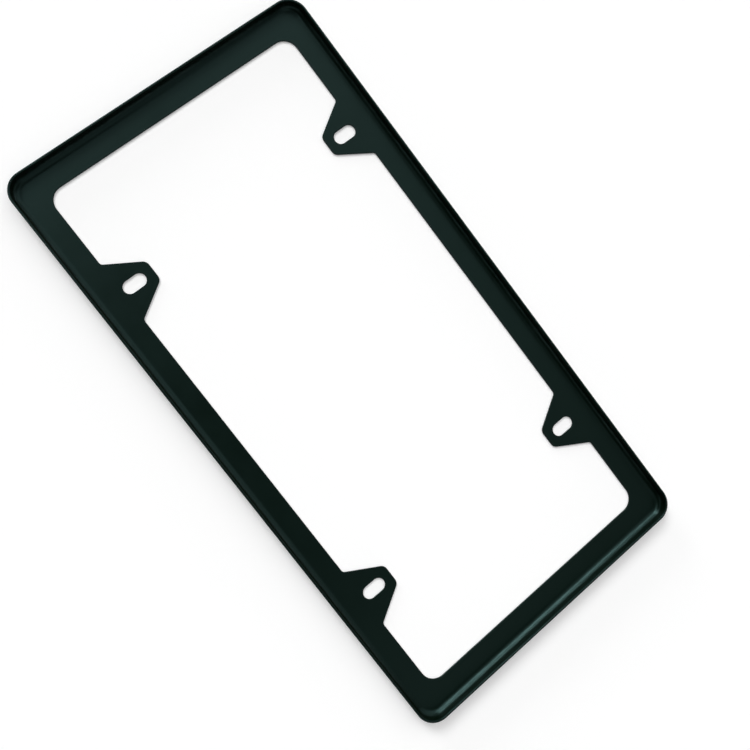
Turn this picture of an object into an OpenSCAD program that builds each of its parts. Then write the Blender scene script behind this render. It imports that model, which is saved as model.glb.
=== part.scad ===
// Frame that holds a vehicle number plate, pressed from one sheet.
//
// It lies as it rests on a table: the front face is down on Z = 0 and the hollow side,
// which takes the plate, is up. X runs across the plate, Y along it. The origin is the
// middle of the front face.

/* [Number plate] */
// Length of the plate that the frame takes, along Y
plate_l = 304.8; // [270:0.1:350]
// Width of the plate that the frame takes, along X
plate_w = 152.4; // [145:0.1:200]
// Play between the plate and the lip at each end
end_play = 2.0; // [1:0.1:5]
// Play between the plate and the lip on each long side
side_play = 2.8; // [1:0.1:5]

/* [Sheet and lip] */
// Thickness of the sheet
sheet_t = 1.0; // [0.7:0.1:1.6]
// Depth from the front face to the rim
frame_h = 7.0; // [5:0.5:15]
// Radius inside the bend between the face and the lip
bend_r = 3.0; // [1:0.1:3.5]
// Radius of the lip's corners seen from the front, on the outside
corner_r = 9.5; // [7:0.5:16]
// Rounding of the two edges of the rim
rim_edge_r = 0.3; // [0.1:0.05:0.3]

/* [Face] */
// Width of the face on the long sides, from the outside of the lip to the window
side_band_w = 13.0; // [9:0.5:20]
// Width of the face at the two ends, from the outside of the lip to the window
end_band_w = 13.3; // [9:0.5:20]
// Radius of the window's corners
window_r = 7.0; // [2:0.5:12]

/* [Fixing tabs] */
// Distance between the screw slots along the plate
slot_pitch_l = 177.8; // [140:0.1:200]
// Distance between the screw slots across the plate
slot_pitch_w = 120.65; // [110:0.05:126]
// Width of a screw slot
slot_w = 6.4; // [4:0.1:9]
// Length of a screw slot from end to end, across the plate
slot_l = 11.5; // [10:0.1:14]
// Metal left between a slot's end and the tab's tip
tip_land = 4.5; // [3:0.1:7]
// Width of a tab at the edge of the window
tab_base_w = 30.8; // [26:0.1:40]
// Width of a tab at its tip, measured between the straight sides
tab_tip_w = 10.1; // [8:0.1:14]
// Radius of the two corners at a tab's tip
tab_tip_r = 3.5; // [1:0.1:5]
// Radius of the fillet where a tab's side meets the window's edge
tab_root_r = 2.0; // [0.5:0.1:5]

/* [Hidden] */

// Fineness of the round stretches
ARC_FN = 96;
// How far a tab's outline reaches into the face, so that the two join
OVERLAP = 0.5;

// Outside of the frame
frame_l = plate_l + 2 * (end_play + sheet_t);
frame_w = plate_w + 2 * (side_play + sheet_t);

// From the lip's outer face to where the flat face begins
bend_w = sheet_t + bend_r;

// Window in the face
window_l = frame_l - 2 * end_band_w;
window_w = frame_w - 2 * side_band_w;

// Tab, measured inwards from the window's edge
tip_x = slot_pitch_w / 2 - slot_l / 2 - tip_land;
tab_reach = window_w / 2 - tip_x;
side_lean = atan((tab_base_w - tab_tip_w) / 2 / tab_reach);
tip_tangent = tab_tip_r * tan((90 - side_lean) / 2);
root_tangent = tab_root_r / tan((90 + side_lean) / 2);

// The whole frame is one pressed sheet
module plate_frame() {
    color([0.11, 0.15, 0.15])
        union() {
            face();
            lip();
        }
}

// Flat front face with its window, tabs and screw slots
module face() {
    linear_extrude(height = sheet_t)
        difference() {
            union() {
                difference() {
                    rounded_rect(frame_w - 2 * bend_w, frame_l - 2 * bend_w, corner_r - bend_w);
                    rounded_rect(window_w, window_l, window_r);
                }
                at_each_slot() tab_outline();
            }
            at_each_slot() slot_outline();
        }
}

// Upturned lip all round, with the bend that joins it to the face
module lip() {
    side_run = frame_l - 2 * corner_r;
    end_run = frame_w - 2 * corner_r;
    for (side = [0, 180]) rotate([0, 0, side]) {
        translate([frame_w / 2 - corner_r, 0, 0]) straight_lip(side_run);
        rotate([0, 0, 90]) translate([frame_l / 2 - corner_r, 0, 0]) straight_lip(end_run);
        translate([end_run / 2, side_run / 2, 0]) corner_lip();
        rotate([0, 0, 90]) translate([side_run / 2, end_run / 2, 0]) corner_lip();
    }
}

module straight_lip(run) {
    rotate([90, 0, 0])
        linear_extrude(height = run, center = true)
            lip_section();
}

module corner_lip() {
    rotate_extrude(angle = 90, $fn = ARC_FN)
        lip_section();
}

// Section through the lip and its bend. The lip's outer face is at corner_r from the
// section's own Y axis, so that the same section also turns the corners.
module lip_section() {
    translate([corner_r - bend_w, 0]) {
        translate([0, bend_w])
            intersection() {
                difference() {
                    circle(r = bend_w, $fn = ARC_FN);
                    circle(r = bend_r, $fn = ARC_FN);
                }
                translate([0, -bend_w]) square(bend_w);
            }
        translate([bend_r, bend_w])
            square([sheet_t, frame_h - bend_w - rim_edge_r]);
        translate([bend_r + rim_edge_r, bend_w])
            square([sheet_t - 2 * rim_edge_r, frame_h - bend_w]);
        for (x = [rim_edge_r, sheet_t - rim_edge_r])
            translate([bend_r + x, frame_h - rim_edge_r])
                circle(r = rim_edge_r, $fn = ARC_FN);
    }
}

// Puts what is drawn for the +X, +Y slot at all four slots
module at_each_slot() {
    for (flip_x = [0, 1], flip_y = [0, 1])
        mirror([flip_x, 0]) mirror([0, flip_y])
            translate([0, slot_pitch_l / 2])
                children();
}

// Tab that narrows from the window's edge to a rounded tip. It is drawn about its own
// middle line, Y = 0, and reaches towards -X.
module tab_outline() {
    base_x = window_w / 2;
    round_x = tip_x + tab_tip_r;
    round_y = tab_tip_w / 2 - tip_tangent;
    side_x = round_x - tab_tip_r * sin(side_lean);
    side_y = round_y + tab_tip_r * cos(side_lean);
    polygon([
        [base_x + OVERLAP, -tab_base_w / 2],
        [base_x, -tab_base_w / 2],
        [side_x, -side_y],
        [tip_x, -round_y],
        [tip_x, round_y],
        [side_x, side_y],
        [base_x, tab_base_w / 2],
        [base_x + OVERLAP, tab_base_w / 2]
    ]);
    for (side = [-1, 1]) {
        translate([round_x, side * round_y])
            circle(r = tab_tip_r, $fn = ARC_FN);
        mirror([0, (1 - side) / 2]) tab_root();
    }
}

// Hollow fillet between the window's edge and the tab's side
module tab_root() {
    edge_x = window_w / 2;
    edge_y = tab_base_w / 2;
    difference() {
        polygon([
            [edge_x + OVERLAP, edge_y - OVERLAP],
            [edge_x - root_tangent * cos(side_lean), edge_y - root_tangent * sin(side_lean)],
            [edge_x - tab_root_r, edge_y + root_tangent],
            [edge_x, edge_y + root_tangent],
            [edge_x + OVERLAP, edge_y + root_tangent]
        ]);
        translate([edge_x - tab_root_r, edge_y + root_tangent])
            circle(r = tab_root_r, $fn = ARC_FN);
    }
}

// Screw slot with round ends, running across the plate
module slot_outline() {
    half_run = (slot_l - slot_w) / 2;
    translate([slot_pitch_w / 2, 0]) {
        square([2 * half_run, slot_w], center = true);
        for (end = [-1, 1])
            translate([end * half_run, 0])
                circle(d = slot_w, $fn = ARC_FN);
    }
}

// Rectangle about the origin with round corners
module rounded_rect(w, l, r) {
    square([w - 2 * r, l], center = true);
    square([w, l - 2 * r], center = true);
    for (x = [-1, 1], y = [-1, 1])
        translate([x * (w / 2 - r), y * (l / 2 - r)])
            circle(r = r, $fn = ARC_FN);
}

plate_frame();
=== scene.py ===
import math

import bpy
from mathutils import Matrix, Vector


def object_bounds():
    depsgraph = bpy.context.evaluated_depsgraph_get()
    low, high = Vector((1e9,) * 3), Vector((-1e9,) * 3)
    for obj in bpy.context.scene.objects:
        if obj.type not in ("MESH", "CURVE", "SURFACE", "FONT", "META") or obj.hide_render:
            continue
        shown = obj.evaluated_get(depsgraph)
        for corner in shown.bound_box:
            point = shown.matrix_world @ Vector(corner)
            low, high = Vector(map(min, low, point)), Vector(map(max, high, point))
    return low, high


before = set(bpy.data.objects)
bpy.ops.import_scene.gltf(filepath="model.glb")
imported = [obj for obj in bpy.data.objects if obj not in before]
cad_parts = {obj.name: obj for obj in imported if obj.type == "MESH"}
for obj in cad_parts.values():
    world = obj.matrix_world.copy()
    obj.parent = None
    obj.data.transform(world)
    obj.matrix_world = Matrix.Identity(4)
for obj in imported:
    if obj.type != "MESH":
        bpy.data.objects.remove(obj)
cad_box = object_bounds()

# Sizes are in metres, in the part's own frame: +X across the plate, +Y along it, +Z from
# the front face, which lies on the floor, towards the hollow side.
MM = 0.001

# Camera, at the photograph's viewing angle
CAMERA_AT = Vector((-53.48, 26.60, 343.68)) * MM
CAMERA_LOOKS_AT = Vector((10.03, 1.63, 0.0)) * MM
# How far the picture's up is turned from the part's +Y towards its +X
CAMERA_ROLL = math.radians(37.3)
LENS_MM = 35.367
SENSOR_MM = 36.0
SHIFT_X = 0.0023
SHIFT_Y = -0.0428
CLIP_START = 10.0 * MM
CLIP_END = 50.0

# Lamps. Azimuth turns from the part's +Y towards its +X. The key is a soft source past the
# +Y end of the frame, with a weaker one under it. The others fill in from near the +Y end,
# from the +X side and from the -Y end.
LAMPS = {
    "key": {"azimuth": 6.0, "elevation": 38.0, "angle": 22.0, "strength": 1.55},
    "low_key": {"azimuth": 0.0, "elevation": 8.0, "angle": 20.0, "strength": 1.2},
    "corner": {"azimuth": -20.0, "elevation": 56.0, "angle": 24.0, "strength": 0.45},
    "side": {"azimuth": 72.0, "elevation": 37.0, "angle": 80.0, "strength": 1.05},
    "end": {"azimuth": 190.0, "elevation": 40.0, "angle": 50.0, "strength": 0.28},
    "fill": {"azimuth": 60.0, "elevation": 42.0, "angle": 50.0, "strength": 0.2},
}
# Light of the room by the sine of the elevation: pale walls, then dim ones, a grey
# ceiling, and a dark place overhead where the camera stands
ROOM_LEVELS = ((0.175, 1.0), (0.205, 0.03), (0.7, 0.03), (0.86, 0.41), (0.92, 0.41), (1.0, 0.0))

# Floor
FLOOR_SIDE = 8.0
FLOOR_COLOUR = (0.88, 0.88, 0.88, 1.0)
# Light that the floor adds for the camera and in reflections, so that it reads white
FLOOR_LIFT = 0.17

# Rounding of the sheet's cut edges, round the window, the tabs and the screw slots
CUT_EDGE_R = 0.22 * MM
CUT_EDGE_STEPS = 3
SHARP_ANGLE = math.radians(50.0)
WELD_DISTANCE = 0.001 * MM
# Faces that lie this close to one plane are joined, so that no thin triangle folds over
# when its edge is rounded
FLAT_ANGLE = math.radians(0.1)

# Satin black powder coat
COAT_DARK = (0.0002, 0.0016, 0.0003, 1.0)
COAT_LIGHT = (0.0003, 0.0028, 0.0006, 1.0)
COAT_SPECULAR = 0.26
COAT_SPECULAR_TINT = (0.52, 0.95, 0.93, 1.0)
COAT_ROUGH_LOW = 0.33
COAT_ROUGH_HIGH = 0.40
# Clouding of the colour and patches of the roughness: waves a metre, the detail of both, and
# the part of the noise's range that the roughness follows
CLOUD_WAVES = 28.0
PATCH_WAVES = 60.0
PATCH_DETAIL = 3.0
PATCH_FROM = 0.3
PATCH_TO = 0.7
# Orange peel of the coat: waves a metre, its detail, and the depth from trough to crest
PEEL_WAVES = 900.0
PEEL_DETAIL = 2.0
PEEL_DEPTH = 0.02 * MM
# Faint lines that the press leaves along the lip and its bend: waves a metre along the
# lip and across it, their depth, how much smoother they are than the rest of the coat, and
# the heights between which they set in
PRESS_WAVES_ALONG = 120.0
PRESS_WAVES_ACROSS = 900.0
PRESS_DEPTH = 0.15 * MM
PRESS_POLISH = 0.08
PRESS_FROM = 1.0 * MM
PRESS_FULL = 1.6 * MM
# Distance from the frame's outside to the centres of its corners' arcs
CORNER_INSET = 9.5 * MM


def make_camera():
    """Camera with its own roll, because it looks almost straight down."""
    data = bpy.data.cameras.new("camera")
    data.sensor_width = SENSOR_MM
    data.lens = LENS_MM
    data.shift_x = SHIFT_X
    data.shift_y = SHIFT_Y
    data.clip_start = CLIP_START
    data.clip_end = CLIP_END
    camera = bpy.data.objects.new("camera", data)
    bpy.context.scene.collection.objects.link(camera)
    forward = (CAMERA_LOOKS_AT - CAMERA_AT).normalized()
    along = Vector((0.0, 1.0, 0.0))
    along = (along - along.dot(forward) * forward).normalized()
    side = forward.cross(along)
    up = math.cos(CAMERA_ROLL) * along + math.sin(CAMERA_ROLL) * side
    right = forward.cross(up)
    turn = Matrix((right, up, -forward)).transposed()
    camera.matrix_world = Matrix.Translation(CAMERA_AT) @ turn.to_4x4()
    bpy.context.scene.camera = camera


def make_lamp(name, azimuth, elevation, angle, strength):
    """Distant soft lamp; angle is how wide it looks, and all angles are in degrees."""
    data = bpy.data.lights.new(name, "SUN")
    data.energy = strength
    data.angle = math.radians(angle)
    lamp = bpy.data.objects.new(name, data)
    turn, rise = math.radians(azimuth), math.radians(elevation)
    level = math.cos(rise)
    comes_from = Vector((level * math.sin(turn), level * math.cos(turn), math.sin(rise)))
    lamp.rotation_mode = "QUATERNION"
    lamp.rotation_quaternion = comes_from.to_track_quat("Z", "Y")
    bpy.context.scene.collection.objects.link(lamp)


def make_world():
    """Plain room whose light changes with the height that it comes from."""
    world = bpy.data.worlds.new("room")
    bpy.context.scene.world = world
    world.use_nodes = True
    nodes, links = world.node_tree.nodes, world.node_tree.links
    nodes.clear()
    coords = nodes.new("ShaderNodeTexCoord")
    split = nodes.new("ShaderNodeSeparateXYZ")
    ramp = nodes.new("ShaderNodeValToRGB")
    ramp.color_ramp.interpolation = "EASE"
    stops = ramp.color_ramp.elements
    while len(stops) < len(ROOM_LEVELS):
        stops.new(1.0)
    for stop, (height, level) in zip(stops, ROOM_LEVELS):
        stop.position = height
        stop.color = (level, level, level, 1.0)
    background = nodes.new("ShaderNodeBackground")
    output = nodes.new("ShaderNodeOutputWorld")
    links.new(coords.outputs["Generated"], split.inputs[0])
    links.new(split.outputs["Z"], ramp.inputs["Fac"])
    links.new(ramp.outputs["Color"], background.inputs["Color"])
    links.new(background.outputs[0], output.inputs["Surface"])


def floor_material():
    """White matt floor that still takes the frame's shadow."""
    material = bpy.data.materials.new("floor_white")
    material.use_nodes = True
    nodes, links = material.node_tree.nodes, material.node_tree.links
    nodes.clear()
    matt = nodes.new("ShaderNodeBsdfDiffuse")
    matt.inputs["Color"].default_value = FLOOR_COLOUR
    glow = nodes.new("ShaderNodeEmission")
    glow.inputs["Color"].default_value = (1.0, 1.0, 1.0, 1.0)
    rays = nodes.new("ShaderNodeLightPath")
    seen = rays.outputs["Is Camera Ray"]
    for name in ("Is Glossy Ray", "Is Transmission Ray"):
        either = nodes.new("ShaderNodeMath")
        either.operation = "MAXIMUM"
        links.new(seen, either.inputs[0])
        links.new(rays.outputs[name], either.inputs[1])
        seen = either.outputs[0]
    lift = nodes.new("ShaderNodeMath")
    lift.operation = "MULTIPLY"
    lift.inputs[1].default_value = FLOOR_LIFT
    links.new(seen, lift.inputs[0])
    links.new(lift.outputs[0], glow.inputs["Strength"])
    both = nodes.new("ShaderNodeAddShader")
    output = nodes.new("ShaderNodeOutputMaterial")
    links.new(matt.outputs[0], both.inputs[0])
    links.new(glow.outputs[0], both.inputs[1])
    links.new(both.outputs[0], output.inputs["Surface"])
    return material


def make_floor():
    """Plain floor at the level that the frame rests on."""
    mesh = bpy.data.meshes.new("floor")
    half = FLOOR_SIDE / 2
    corners = [(-half, -half, 0), (half, -half, 0), (half, half, 0), (-half, half, 0)]
    mesh.from_pydata(corners, [], [(0, 1, 2, 3)])
    mesh.materials.append(floor_material())
    floor = bpy.data.objects.new("floor", mesh)
    bpy.context.scene.collection.objects.link(floor)


def add_noise(nodes, links, coords, waves, detail):
    """Noise over the part's own coordinates, in waves a metre."""
    noise = nodes.new("ShaderNodeTexNoise")
    noise.inputs["Scale"].default_value = waves
    noise.inputs["Detail"].default_value = detail
    links.new(coords.outputs["Object"], noise.inputs["Vector"])
    return noise.outputs["Fac"]


def add_vector_math(nodes, links, operation, first, second=None):
    """Vector operation on a socket and, where it takes two, a plain vector."""
    step = nodes.new("ShaderNodeVectorMath")
    step.operation = operation
    links.new(first, step.inputs[0])
    if second is not None:
        step.inputs[1].default_value = second
    return step


def press_lines(nodes, links, coords):
    """Strength of the faint lines along the lip, which follow it round the corners."""
    high = cad_box[1]
    centres = (high[0] - CORNER_INSET, high[1] - CORNER_INSET, 0.0)
    mirrored = add_vector_math(nodes, links, "ABSOLUTE", coords.outputs["Object"])
    shifted = add_vector_math(nodes, links, "SUBTRACT", mirrored.outputs["Vector"], centres)
    outward = add_vector_math(nodes, links, "MAXIMUM", shifted.outputs["Vector"], (0.0, 0.0, 0.0))
    level = add_vector_math(nodes, links, "MULTIPLY", outward.outputs["Vector"], (1.0, 1.0, 0.0))
    across = add_vector_math(nodes, links, "LENGTH", level.outputs["Vector"])
    along = add_vector_math(nodes, links, "DOT_PRODUCT", coords.outputs["Object"], (1.0, 1.0, 0.0))
    split = nodes.new("ShaderNodeSeparateXYZ")
    links.new(coords.outputs["Object"], split.inputs[0])

    place = nodes.new("ShaderNodeCombineXYZ")
    links.new(along.outputs["Value"], place.inputs["X"])
    links.new(across.outputs["Value"], place.inputs["Y"])
    links.new(split.outputs["Z"], place.inputs["Z"])
    waves = (PRESS_WAVES_ALONG, PRESS_WAVES_ACROSS, PRESS_WAVES_ACROSS)
    stretched = add_vector_math(nodes, links, "MULTIPLY", place.outputs["Vector"], waves)
    lines = nodes.new("ShaderNodeTexNoise")
    lines.inputs["Scale"].default_value = 1.0
    links.new(stretched.outputs["Vector"], lines.inputs["Vector"])

    fade = nodes.new("ShaderNodeMapRange")
    fade.inputs["From Min"].default_value = PRESS_FROM
    fade.inputs["From Max"].default_value = PRESS_FULL
    links.new(split.outputs["Z"], fade.inputs["Value"])
    faded = nodes.new("ShaderNodeMath")
    faded.operation = "MULTIPLY"
    links.new(lines.outputs["Fac"], faded.inputs[0])
    links.new(fade.outputs["Result"], faded.inputs[1])
    return faded.outputs[0]


def coat_material():
    """Satin black coat with a cool tint, slight clouding, orange peel and press lines."""
    material = bpy.data.materials.new("black_coat")
    material.use_nodes = True
    nodes, links = material.node_tree.nodes, material.node_tree.links
    coat = nodes["Principled BSDF"]
    coat.inputs["Specular IOR Level"].default_value = COAT_SPECULAR
    coat.inputs["Specular Tint"].default_value = COAT_SPECULAR_TINT
    coords = nodes.new("ShaderNodeTexCoord")

    clouds = add_noise(nodes, links, coords, CLOUD_WAVES, PATCH_DETAIL)
    colour = nodes.new("ShaderNodeMix")
    colour.data_type = "RGBA"
    colour.inputs["A"].default_value = COAT_DARK
    colour.inputs["B"].default_value = COAT_LIGHT
    links.new(clouds, colour.inputs["Factor"])
    links.new(colour.outputs["Result"], coat.inputs["Base Color"])

    patches = add_noise(nodes, links, coords, PATCH_WAVES, PATCH_DETAIL)
    rough = nodes.new("ShaderNodeMapRange")
    rough.inputs["From Min"].default_value = PATCH_FROM
    rough.inputs["From Max"].default_value = PATCH_TO
    rough.inputs["To Min"].default_value = COAT_ROUGH_LOW
    rough.inputs["To Max"].default_value = COAT_ROUGH_HIGH
    links.new(patches, rough.inputs["Value"])

    lines = press_lines(nodes, links, coords)
    polish = nodes.new("ShaderNodeMath")
    polish.operation = "MULTIPLY_ADD"
    polish.inputs[1].default_value = -PRESS_POLISH
    links.new(lines, polish.inputs[0])
    links.new(rough.outputs["Result"], polish.inputs[2])
    links.new(polish.outputs[0], coat.inputs["Roughness"])

    peel = add_noise(nodes, links, coords, PEEL_WAVES, PEEL_DETAIL)
    into = coat.inputs["Normal"]
    for height, depth in ((peel, PEEL_DEPTH), (lines, PRESS_DEPTH)):
        bump = nodes.new("ShaderNodeBump")
        bump.inputs["Strength"].default_value = 1.0
        bump.inputs["Distance"].default_value = depth
        links.new(height, bump.inputs["Height"])
        links.new(bump.outputs["Normal"], into)
        into = bump.inputs["Normal"]
    return material


def dress_plate_frame(node):
    """Coats the pressed sheet and rounds its cut edges, as blanking and coating leave them."""
    node.data.materials[0] = coat_material()
    weld = node.modifiers.new("weld", "WELD")
    weld.merge_threshold = WELD_DISTANCE
    flat = node.modifiers.new("flat_faces", "DECIMATE")
    flat.decimate_type = "DISSOLVE"
    flat.angle_limit = FLAT_ANGLE
    edge = node.modifiers.new("cut_edges", "BEVEL")
    edge.limit_method = "ANGLE"
    edge.angle_limit = SHARP_ANGLE
    edge.width = CUT_EDGE_R
    edge.segments = CUT_EDGE_STEPS
    edge.use_clamp_overlap = False
    edge.harden_normals = True


make_camera()
for lamp_name, lamp in LAMPS.items():
    make_lamp(lamp_name, **lamp)
make_world()
make_floor()
dress_plate_frame(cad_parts["plate_frame"])

bpy.context.scene.view_settings.view_transform = "Standard"
